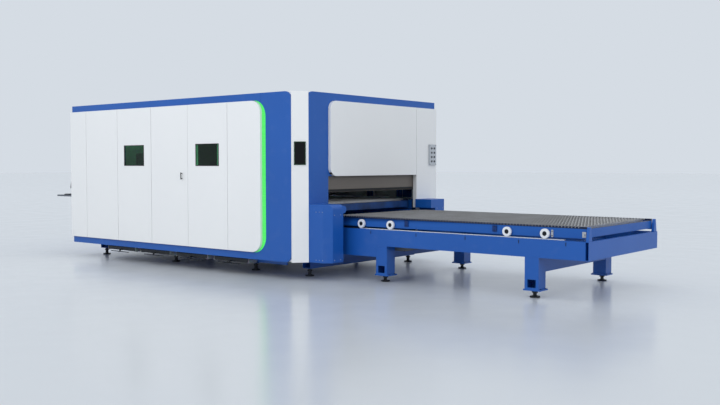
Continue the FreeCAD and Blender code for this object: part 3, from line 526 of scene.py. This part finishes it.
for k in range(1, 9):
    low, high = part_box("button_%d" % k)
    at = (low + high) / 2
    cap = bar("push_button_%d" % k, (low.x, at.y, at.z), (high.x, at.y, at.z), 0.013, 40)
    sunk(cap, lambda c, n: n.x > 0.9, 0.0035, -0.0016)
    done(broken(cap, 0.001, 3), "button_%d" % k, "button_black", black_plastic, "button_%d" % k)
    collar = bar("button_collar", (face - 0.001, at.y, at.z), (face + 0.0028, at.y, at.z), 0.0185, 40)
    sunk(collar, lambda c, n: abs(n.x) > 0.9, 0.0048, 0)
    bpy.ops.object.mode_set(mode="EDIT")
    bpy.ops.mesh.bridge_edge_loops()
    bpy.ops.object.mode_set(mode="OBJECT")
    done(broken(collar, 0.0008), "machine", "fitting_steel", satin_plate).name = "button_collar_%d" % k

# ---------------------------------------------------------------
# Lifting gate: a flat aluminium leaf between two guides, with a
# rubber wiper along its foot. It opens for the pallet to pass.
# ---------------------------------------------------------------
gate_grey = Finish("gate_grey_coat", {"Metallic": 0.25, "IOR": 1.5})
brushed = gate_grey.noise(60.0, 3.0, gate_grey.stretched(1.0, 0.25, 3.0))
gate_grey.feed(Base_Color=gate_grey.mix(brushed, tone(110, 103, 97), tone(120, 113, 106)),
               Roughness=0.42 + brushed * 0.12, Normal=gate_grey.bump(brushed, 0.0001, 0.4))
done(broken(merged("gate", "gate_leaf"), 0.0015), "gate", "grey_steel", gate_grey, "gate")
low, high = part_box("gate")
wiper = block("gate_wiper", (high.x - 0.0005, low.y + 0.03, low.z + 0.004),
              (high.x + 0.0045, high.y - 0.03, low.z + 0.034))
sunk(wiper, lambda c, n: n.x > 0.9, 0.006, -0.002)
done(broken(wiper, 0.0012), "gate", "black_steel", rubber)

# ---------------------------------------------------------------
# Guard boxes: folded blue covers either side of the pallet
# opening, over the drive chain. Button head screws hold their
# flanges.
# ---------------------------------------------------------------
done(broken(merged("guard_boxes", "pallet_guard_boxes"), 0.004, 3), "machine", "blue_paint", blue_paint,
     "guard_boxes")


def screws(name, spots, way, radius, sides=12):
    """Button head screws with a driver socket, all facing one way."""
    way = Vector(way)
    base = Vector(spots[0])
    head = bar(name, base - way * 0.0006, base + way * radius * 0.5, radius, sides, radius * 0.72)
    sunk(head, lambda c, n: n.dot(way) > 0.9, radius * 0.32, -radius * 0.25)
    heads = [head] + [again(head, Vector(spot) - base) for spot in spots[1:]]
    return joined(name, heads)


zinc = Finish("bright_zinc", {"Metallic": 1.0})
zinc.feed(Base_Color=zinc.mix(zinc.noise(22.0, 4.0), tone(196, 199, 203), tone(168, 171, 176)),
          Roughness=0.24 + zinc.noise(70.0) * 0.16, Normal=zinc.bump(zinc.noise(180.0), 0.0002, 0.3))
low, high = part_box("guard_boxes")
flange = [(1.10 + 0.05 * k, low.y, z) for z in (0.235, 0.795) for k in range(3)]
done(screws("near_guard_screws", flange, (0, -1, 0), 0.0055), "machine", "fitting_steel", zinc)
front = [(high.x, y, z) for y in (-1.155, -1.045) for z in (0.235, 0.760)]
front += [(high.x, y, z) for y in (0.950, 1.090) for z in (0.330, 0.760)]
done(screws("front_guard_screws", front, (1, 0, 0), 0.0055), "machine", "fitting_steel", zinc)

# ---------------------------------------------------------------
# Roof and rear wall: lapped white roof trays screwed along their
# edges, and a blue rear wall with cooling louvres.
# ---------------------------------------------------------------
done(broken(merged("roof_panels", "roof_trays"), 0.002), "machine", "white_paint", white_paint, "roof_panels")
low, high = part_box("roof_panels")
spots = []
for k in range(12):
    for y in (low.y + 0.03, high.y - 0.03):
        spots.append((low.x + 0.15 + 0.36 * k, y, high.z))
for k in (1, 2):
    for j in range(7):
        spots.append((low.x + (0.658 - low.x) * k / 3 + 0.02, -1.2 + 0.4 * j, high.z))
done(screws("roof_screws", spots, (0, 0, 1), 0.006), "machine", "fitting_steel", zinc)
done(broken(merged("rear_wall", "rear_wall_sheet"), 0.002), "machine", "blue_paint", blue_paint, "rear_wall")
low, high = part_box("rear_wall")
louvres = []
for k in range(10):
    z = 0.500 + 0.060 * k
    fin = block("louvre", (low.x + 0.001, 0.300, z + 0.002), (low.x + 0.010, 1.100, z + 0.005))
    sunk(fin, lambda c, n: n.x < -0.9, 0.0, 0.0005)
    fin.data.transform(Matrix.Translation((low.x + 0.006, 0, z + 0.011))
                       @ Matrix.Rotation(math.radians(-38), 4, "Y")
                       @ Matrix.Translation((-low.x - 0.006, 0, -z - 0.0035)))
    louvres.append(fin)
done(joined("rear_louvres", louvres), "machine", "blue_paint", blue_paint)
spots = [(low.x, y, z) for y in (-1.35, -0.45, 0.45, 1.35) for z in (0.25, 1.2, 2.10)]
done(screws("rear_wall_screws", spots, (-1, 0, 0), 0.006), "machine", "fitting_steel", zinc)

# ---------------------------------------------------------------
# Laser source and electrical cabinet in the rear bay: folded
# steel housings in light grey texture coat, with a swing latch on
# each door and a handle on the source.
# ---------------------------------------------------------------
light_grey = powder_coat("light_grey_texture_coat", tone(196, 200, 204), tone(184, 188, 193), 0.45, 0.0)
done(broken(merged("laser_source", "laser_source_housing"), 0.004, 3), "machine", "cabinet_grey", light_grey,
     "laser_source")
done(broken(merged("electrical_cabinet", "electrical_cabinet_housing"), 0.004, 3), "machine", "cabinet_grey",
     light_grey, "electrical_cabinet")
low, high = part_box("electrical_cabinet")
latches = []
for y in (0.400, 0.480):
    plate = block("latch_plate", (low.x - 0.001, y - 0.014, 1.05), (low.x + 0.0052, y + 0.014, 1.21))
    sunk(plate, lambda c, n: n.x < -0.9, 0.003, 0.002)
    lever = block("latch_lever", (low.x - 0.012, y - 0.007, 1.07), (low.x - 0.002, y + 0.007, 1.19))
    latches += [broken(plate, 0.001), broken(lever, 0.003, 3)]
done(joined("cabinet_latches", latches), "machine", "black_steel", black_plastic)

# ---------------------------------------------------------------
# Gantry: a welded aluminium beam on linear guides, with racks
# beside them, and a cable chain lying in a tray along its top.
# ---------------------------------------------------------------
ground_steel = Finish("ground_rail_steel", {"Metallic": 0.8})
lay = ground_steel.noise(150.0, 3.0, ground_steel.stretched(0.04, 1.0, 1.0))
ground_steel.feed(Base_Color=ground_steel.mix(lay, tone(246, 247, 250), tone(230, 233, 238)),
                  Roughness=0.16 + lay * 0.14, Normal=ground_steel.bump(lay, 0.00005, 0.4))
done(broken(merged("gantry_rails", "gantry_guides_and_racks"), 0.0015), "machine", "ground_steel", ground_steel,
     "gantry_rails")
gantry_white = powder_coat("gantry_white_coat", tone(226, 228, 230), tone(217, 220, 223), 0.4, 0.1)
done(broken(merged("gantry", "gantry_beam"), 0.003), "gantry", "gantry_white", gantry_white, "gantry")
low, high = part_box("gantry")
chain = []
link = block("chain_link", (-1.005, -0.95, high.z + 0.002), (-0.945, -0.918, high.z + 0.038))
sunk(link, lambda c, n: abs(n.x) > 0.9, 0.006, -0.003)
broken(link, 0.002)
for k in range(1, 58):
    chain.append(again(link, (0, 0.0335 * k, 0)))
tray = block("chain_tray", (-1.012, -0.965, high.z - 0.0005), (-0.938, 1.005, high.z + 0.003))
broken(tray, 0.001)
done(joined("gantry_cable_chain", [link] + chain), "gantry", "black_steel", black_plastic)
done(tray, "gantry", "gantry_white", gantry_white)

# ---------------------------------------------------------------
# Carriage and cutting head: a machined plate on the beam guides
# carries the anodised head, with its lens drawers, a ceramic ring
# and a turned copper nozzle.
# ---------------------------------------------------------------
head_coat = Finish("dark_anodised_head", {"Metallic": 0.7})
head_coat.feed(Base_Color=head_coat.mix(head_coat.noise(14.0), tone(58, 62, 68), tone(74, 78, 84)),
               Roughness=0.32 + head_coat.noise(60.0) * 0.12,
               Normal=head_coat.bump(head_coat.noise(400.0), 0.0001, 0.3))
done(broken(merged("head_carriage", "carriage_plate"), 0.002), "head_carriage", "head_grey", satin_plate,
     "head_carriage")
done(broken(merged("cutting_head", "cutting_head_body"), 0.002), "cutting_head", "head_grey", head_coat,
     "cutting_head")
nozzle_x = -0.619
front = -0.569
drawers = []
for z in (1.165, 1.225, 1.285):
    drawer = block("lens_drawer", (front - 0.001, -0.036, z - 0.018), (front + 0.008, 0.036, z + 0.018))
    sunk(drawer, lambda c, n: n.x > 0.9, 0.004, -0.0015)
    drawers.append(broken(drawer, 0.001))
done(joined("lens_drawers", drawers), "cutting_head", "head_grey", satin_plate)
ceramic = Finish("ceramic_ring", {"IOR": 1.6})
ceramic.feed(Base_Color=ceramic.mix(ceramic.noise(30.0), tone(232, 228, 218), tone(222, 217, 206)),
             Roughness=0.2 + ceramic.noise(50.0) * 0.1)
ring = bar("nozzle_ceramic", (nozzle_x, 0, 1.0505), (nozzle_x, 0, 1.0645), 0.040, 40)
sunk(ring, lambda c, n: abs(n.z) > 0.9, 0.004, 0.001)
done(broken(ring, 0.001), "cutting_head", "gantry_white", ceramic)
copper = Finish("turned_copper", {"Metallic": 1.0})
turned = copper.noise(240.0, 2.0, copper.stretched(0.05, 0.05, 1.0))
copper.feed(Base_Color=copper.mix(turned, tone(214, 138, 96), tone(196, 118, 78)),
            Roughness=0.2 + turned * 0.14)
nozzle = bar("copper_nozzle", (nozzle_x, 0, 1.001), (nozzle_x, 0, 1.026), 0.0085, 32, 0.020)
sunk(nozzle, lambda c, n: n.z < -0.9, 0.0045, -0.004)
done(broken(nozzle, 0.0005), "cutting_head", "fitting_steel", copper)

# ---------------------------------------------------------------
# Pallet rails: oiled dark guide bars inside the machine and two
# ground and polished bars along the exchange station, screwed
# down on the side beams.
# ---------------------------------------------------------------
oiled_bar = Finish("oiled_guide_bar", {"Metallic": 0.9})
oil = oiled_bar.noise(9.0, 4.0, oiled_bar.stretched(0.3, 1.0, 1.0))
oiled_bar.feed(Base_Color=oiled_bar.mix(oil, tone(62, 64, 68), tone(92, 93, 96)), Roughness=0.26 + oil * 0.2)
done(broken(merged("pallet_guides", "inner_guide_bars"), 0.001), "machine", "grey_steel", oiled_bar,
     "pallet_guides")
done(broken(merged("station_rails", "polished_station_rails"), 0.0015), "machine", "ground_steel", ground_steel,
     "station_rails")

# ---------------------------------------------------------------
# Exchange pallets: a blue welded frame whose notched strips hold
# 86 standing slats of hot rolled steel. Cutting leaves heat tints
# and spatter on the tips. Both coats get a slight smoke dulling; the
# inner pallet's coat is painted near black as painted shade, for the
# shadow it stands in inside the chamber.
# ---------------------------------------------------------------


def slat_steel(name, top):
    """Hot rolled slats: mill scale, blue and straw tints near the tips."""
    slats = Finish(name, {"Metallic": 0.75})
    height = slats.node("ShaderNodeSeparateXYZ", {}, {"Vector": slats.place}, "Z")
    near_tip = slats.step(height, top - 0.050, top)
    scale = slats.noise(5.0, 5.0)
    spatter = slats.step(slats.noise(140.0, 4.0), 0.56, 0.66)
    bare = slats.mix(scale, tone(214, 216, 219), tone(176, 177, 179))
    tinted = slats.mix(near_tip * (0.10 + scale * 0.35), bare, tone(156, 142, 124))
    slats.feed(Base_Color=slats.mix(spatter * near_tip * 0.35, tinted, tone(84, 78, 72)),
               Roughness=0.34 + scale * 0.2 + spatter * 0.15,
               Normal=slats.bump(spatter + scale * 0.3, 0.0006, 0.4))
    return slats


def pallet_coat(name, smoke_and_shade_amount, strip_foot):
    """The blue powder: a slight smoke dulling, painted shade darkening the inner pallet, and painted shade on
    the strip tops between the slats.
    """
    paint = Finish(name, {"IOR": 1.45})
    height = paint.node("ShaderNodeSeparateXYZ", {}, {"Vector": paint.place}, "Z")
    smoke_and_shade_noise = paint.noise(5.0, 4.0)
    # Painted shade: the notched strip tops above strip_foot, down among the slats, are painted dark navy.
    strip_tops_painted_shade = paint.step(height, strip_foot, strip_foot + 0.001)
    # Painted shade, with a slight smoke: a small amount dulls the outer pallet, a large one paints the inner
    # pallet near black for the chamber's shadow.
    smoke_and_shade_blue = paint.mix(0.05 + smoke_and_shade_noise * smoke_and_shade_amount, tone(22, 90, 174), tone(16, 22, 36))
    return paint.feed(Base_Color=paint.mix(strip_tops_painted_shade, smoke_and_shade_blue, tone(12, 26, 58)), Roughness=0.40 + smoke_and_shade_noise * 0.12)


# Pallet b gets the large amount: painted shade for its place in the chamber's shadow.
for side, smoke_and_shade_amount in (("a", 0.05), ("b", 1.2)):
    body = "pallet_" + side
    strip_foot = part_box(body + "_slats")[1].z - 0.0265
    done(broken(merged(body + "_frame", body + "_weldment"), 0.0012), body, "blue_paint",
         pallet_coat(body + "_coat", smoke_and_shade_amount, strip_foot), body + "_frame")
    dressed(body + "_slats", slat_steel(body + "_slat_steel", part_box(body + "_slats")[1].z))

# ---------------------------------------------------------------
# Plates, brackets and hook plates on the outer pallet's side
# beams, held by button head screws. The two middle plates are
# painted dark blue with the frame, the rest is bright zinc.
# ---------------------------------------------------------------
fitting_zinc = Finish("painted_and_zinc_fittings", {"Metallic": 0.35})
along = fitting_zinc.node("ShaderNodeSeparateXYZ", {}, {"Vector": fitting_zinc.place}, "X")
painted = (fitting_zinc.step(along, 2.060, 2.061) - fitting_zinc.step(along, 2.130, 2.131)
           + fitting_zinc.step(along, 3.195, 3.196) - fitting_zinc.step(along, 3.265, 3.266))
bloom = fitting_zinc.noise(22.0, 4.0)
plated = fitting_zinc.mix(bloom, tone(196, 199, 203), tone(168, 171, 176))
fitting_zinc.feed(Base_Color=fitting_zinc.mix(painted, plated, tone(16, 52, 112)),
                  Roughness=0.34 + bloom * 0.2)
done(broken(merged("pallet_fittings", "pallet_side_fittings"), 0.0015), "pallet_a", "fitting_steel",
     fitting_zinc, "pallet_fittings")
for side in (-1, 1):
    spots = [(x, side * 0.855, z) for x in (2.093, 3.231) for z in (0.660, 0.700)]
    spots += [(3.889, side * 0.855, z) for z in (0.640, 0.682)]
    name = "fitting_screws_near" if side < 0 else "fitting_screws_far"
    done(screws(name, spots, (0, side, 0), 0.006), "pallet_a", "fitting_steel", blackened)

# ---------------------------------------------------------------
# Pallet axles: a ground shaft across the frame with a turned and
# polished steel wheel on each end, a blackened hub cover and a
# centre screw. Four turn freely under each pallet.
# ---------------------------------------------------------------
# Partly painted reflection: the rings are bright polished steel, but their base is drawn nearly white and
# barely metallic, so the white also stands for their reflection of the pale hall.
wheel_steel = Finish("polished_wheel_painted_reflection", {"Metallic": 0.12, "IOR": 1.5})
worn = wheel_steel.noise(35.0, 4.0)
wheel_steel.feed(Base_Color=wheel_steel.mix(worn, tone(244, 245, 247), tone(226, 228, 231)),
                 Roughness=0.22 + worn * 0.16)
low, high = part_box("axle_a1")
first_axle = (low + high) / 2
wheel_r = (high.z - low.z) / 2
rims = []
hubs = []
for end, side in ((low.y, -1), (high.y, 1)):
    face = side * 0.878
    wheel = bar("rim", (first_axle.x, face - side * 0.0275, first_axle.z),
                (first_axle.x, face, first_axle.z), wheel_r, 56)
    sunk(wheel, lambda c, n: n.y * side > 0.9, 0.0255, -0.006)
    sunk(wheel, lambda c, n: n.y * side < -0.9, 0.016, -0.004)
    rims.append(broken(wheel, 0.0018, 3))
    hub = bar("hub", (first_axle.x, face - side * 0.008, first_axle.z),
              (first_axle.x, face - side * 0.0015, first_axle.z), 0.0232, 40)
    sunk(hub, lambda c, n: n.y * side > 0.9, 0.006, -0.0025)
    hubs.append(broken(hub, 0.0008))
    nut = bar("hub_screw", (first_axle.x, face - side * 0.006, first_axle.z),
              (first_axle.x, face + side * 0.001, first_axle.z), 0.0085, 6)
    sunk(nut, lambda c, n: n.y * side > 0.9, 0.003, -0.003)
    hubs.append(broken(nut, 0.0006))
shaft = bar("shaft", (first_axle.x, -0.8505, first_axle.z), (first_axle.x, 0.8505, first_axle.z), 0.008, 24)
rims.append(broken(shaft, 0.0006))
rims = joined("axle_rims", rims)
hubs = joined("axle_hubs", hubs)
for side in ("a", "b"):
    for k in range(1, 5):
        node = "axle_%s%d" % (side, k)
        low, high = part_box(node)
        move = (low + high) / 2 - first_axle
        wheels = again(rims, move)
        wheels.name = node + "_wheels"
        done(wheels, node, "wheel_steel", wheel_steel, node)
        covers = again(hubs, move)
        covers.name = node + "_hub_covers"
        done(covers, node, "black_steel", blackened)
bpy.data.objects.remove(rims)
bpy.data.objects.remove(hubs)

# ---------------------------------------------------------------
# Exchange station: side beams, deep skirts, end beam, legs and
# end stops welded in plate and square tube and powder coated
# blue. Short slots along the side beams hold thin blackened
# blocks, whose dark is painted shade for the slot openings.
# ---------------------------------------------------------------
done(broken(merged("station_frame", "station_weldment"), 0.003, 3), "machine", "blue_paint", blue_paint,
     "station_frame")
slots = []
spots = []
# Painted shade: thin blackened blocks in the short slots stand for the dark inside the slot openings.
for side in (-1, 1):
    for x in (1.62, 2.26, 2.90, 3.54, 4.06):
        slot = block("slot_shade_block", (x - 0.004, side * 0.898 - 0.0015, 0.545),
                     (x + 0.004, side * 0.898 + 0.0015, 0.583))
        sunk(slot, lambda c, n: n.y * side > 0.9, 0.001, -0.001)
        slots.append(broken(slot, 0.001))
done(joined("slot_shade_blocks", slots), "machine", "black_steel", blackened)
for name, side in (("base_bolts_near", -1), ("base_bolts_far", 1)):
    bolts = []
    for x in leg_x:
        for dx in (-0.085, 0.085):
            for y in (0.752, 0.860):
                head = bar("base_bolt", (x + dx, side * y, 0.0845), (x + dx, side * y, 0.0915), 0.0065, 6)
                bolts.append(broken(head, 0.0008))
    done(joined(name, bolts), "machine", "fitting_steel", blackened)

# ---------------------------------------------------------------
# Pallet drive: a ribbed motor on a worm gearbox, bolted under the
# side beam by the first leg.
# ---------------------------------------------------------------
motor_coat = powder_coat("motor_grey_coat", tone(92, 98, 106), tone(80, 86, 94), 0.42, 0.1)
done(broken(merged("drive_motor", "motor_and_gearbox"), 0.003), "machine", "grey_steel", motor_coat,
     "drive_motor")
low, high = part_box("drive_motor")
axis_x = (low.x + high.x) / 2
ribs = []
for k in range(18):
    turn = Matrix.Rotation(math.radians(20 * k), 4, "Y")
    rib = block("motor_rib", (-0.002, high.y - 0.235, 0.068), (0.002, high.y - 0.035, 0.078))
    rib.data.transform(Matrix.Translation((axis_x, 0, 0.422)) @ turn)
    ribs.append(rib)
cowl = bar("fan_cowl", (axis_x, high.y - 0.032, 0.422), (axis_x, high.y + 0.004, 0.422), 0.076, 40)
sunk(cowl, lambda c, n: n.y > 0.9, 0.010, -0.003)
sunk(cowl, lambda c, n: n.y > 0.9 and (c.xz - Vector((axis_x, 0.422))).length < 0.05, 0.030, -0.003)
ribs.append(broken(cowl, 0.003, 3))
done(joined("motor_ribs_and_cowl", ribs), "machine", "grey_steel", motor_coat)

# ---------------------------------------------------------------
# Chip trays: shallow black trays on runners under the door side,
# each drawn out by a round pull bar.
# ---------------------------------------------------------------
for k in range(1, 5):
    node = "tray_%d" % k
    done(broken(merged(node, "chip_" + node), 0.0008), node, "black_steel", blackened, node)

# ---------------------------------------------------------------
# Operator console: a folded shell on the rear wall with a shelf
# for the keyboard, and a monitor that tilts on a short mast.
# ---------------------------------------------------------------
console_coat = powder_coat("console_grey_coat", tone(92, 98, 108), tone(80, 86, 96), 0.42, 0.1)
done(broken(merged("console", "console_shell_and_shelf"), 0.004, 3), "machine", "cabinet_grey", console_coat,
     "console")
keys = []
key_bed = block("keyboard_bed", (-4.205, -1.190, 0.8795), (-4.065, -0.850, 0.8895))
sunk(key_bed, lambda c, n: n.z > 0.9, 0.006, -0.002)
keys.append(broken(key_bed, 0.002))
first_key = block("key", (-4.196, -1.181, 0.885), (-4.1775, -1.1625, 0.8945))
sunk(first_key, lambda c, n: n.z > 0.9, 0.0035, -0.0006)
key_pitch = 0.0205
row_pitch = 0.0218
for row in range(6):
    for column in range(16):
        if row == 0 and 4 <= column <= 10:
            continue
        keys.append(again(first_key, (row_pitch * row, key_pitch * column, 0)))
spacer = block("space_key", (-4.196, -1.181 + key_pitch * 4, 0.885),
               (-4.1775, -1.1625 + key_pitch * 10, 0.8945))
sunk(spacer, lambda c, n: n.z > 0.9, 0.0035, -0.0006)
keys.append(spacer)
bpy.data.objects.remove(first_key)
done(joined("keyboard", keys), "machine", "black_steel", black_plastic)
stop_red = Finish("stop_button_red", {"Coat Weight": 0.3})
stop_red.feed(Base_Color=stop_red.mix(stop_red.noise(30.0), tone(196, 28, 24), tone(176, 20, 18)),
              Roughness=0.3 + stop_red.noise(60.0) * 0.1)
stop_stem = bar("stop_stem", (-4.00, -0.830, 0.8795), (-4.00, -0.830, 0.8935), 0.020, 32)
done(broken(stop_stem, 0.001), "machine", "black_steel", black_plastic)
stop_cap = bar("stop_mushroom", (-4.00, -0.830, 0.893), (-4.00, -0.830, 0.9085), 0.0195, 40)
sunk(stop_cap, lambda c, n: n.z > 0.9, 0.008, 0.002)
done(broken(stop_cap, 0.0035, 4), "machine", "button_black", stop_red)

done(broken(merged("monitor", "monitor_housing"), 0.004, 3), "monitor", "screen_black", black_plastic,
     "monitor")
pivot = Vector((-3.840, -1.014, 1.105))
tilt = Matrix.Translation(pivot) @ Matrix.Rotation(math.radians(12), 4, "Y")
panel = block("monitor_glass", (-0.0738, -0.218, -0.119), (-0.0722, 0.218, 0.119))
broken(panel, 0.0006)
panel.data.transform(tilt)
done(panel, "monitor", "screen_black", black_glass)
vents = []
for k in range(9):
    y = -0.150 + 0.0375 * k
    vent = block("monitor_vent", (-0.0400, y - 0.012, 0.060), (-0.0382, y + 0.012, 0.085))
    sunk(vent, lambda c, n: n.x > 0.9, 0.003, -0.0008)
    vent.data.transform(tilt)
    vents.append(vent)
done(joined("monitor_vents", vents), "monitor", "screen_black", blackened)
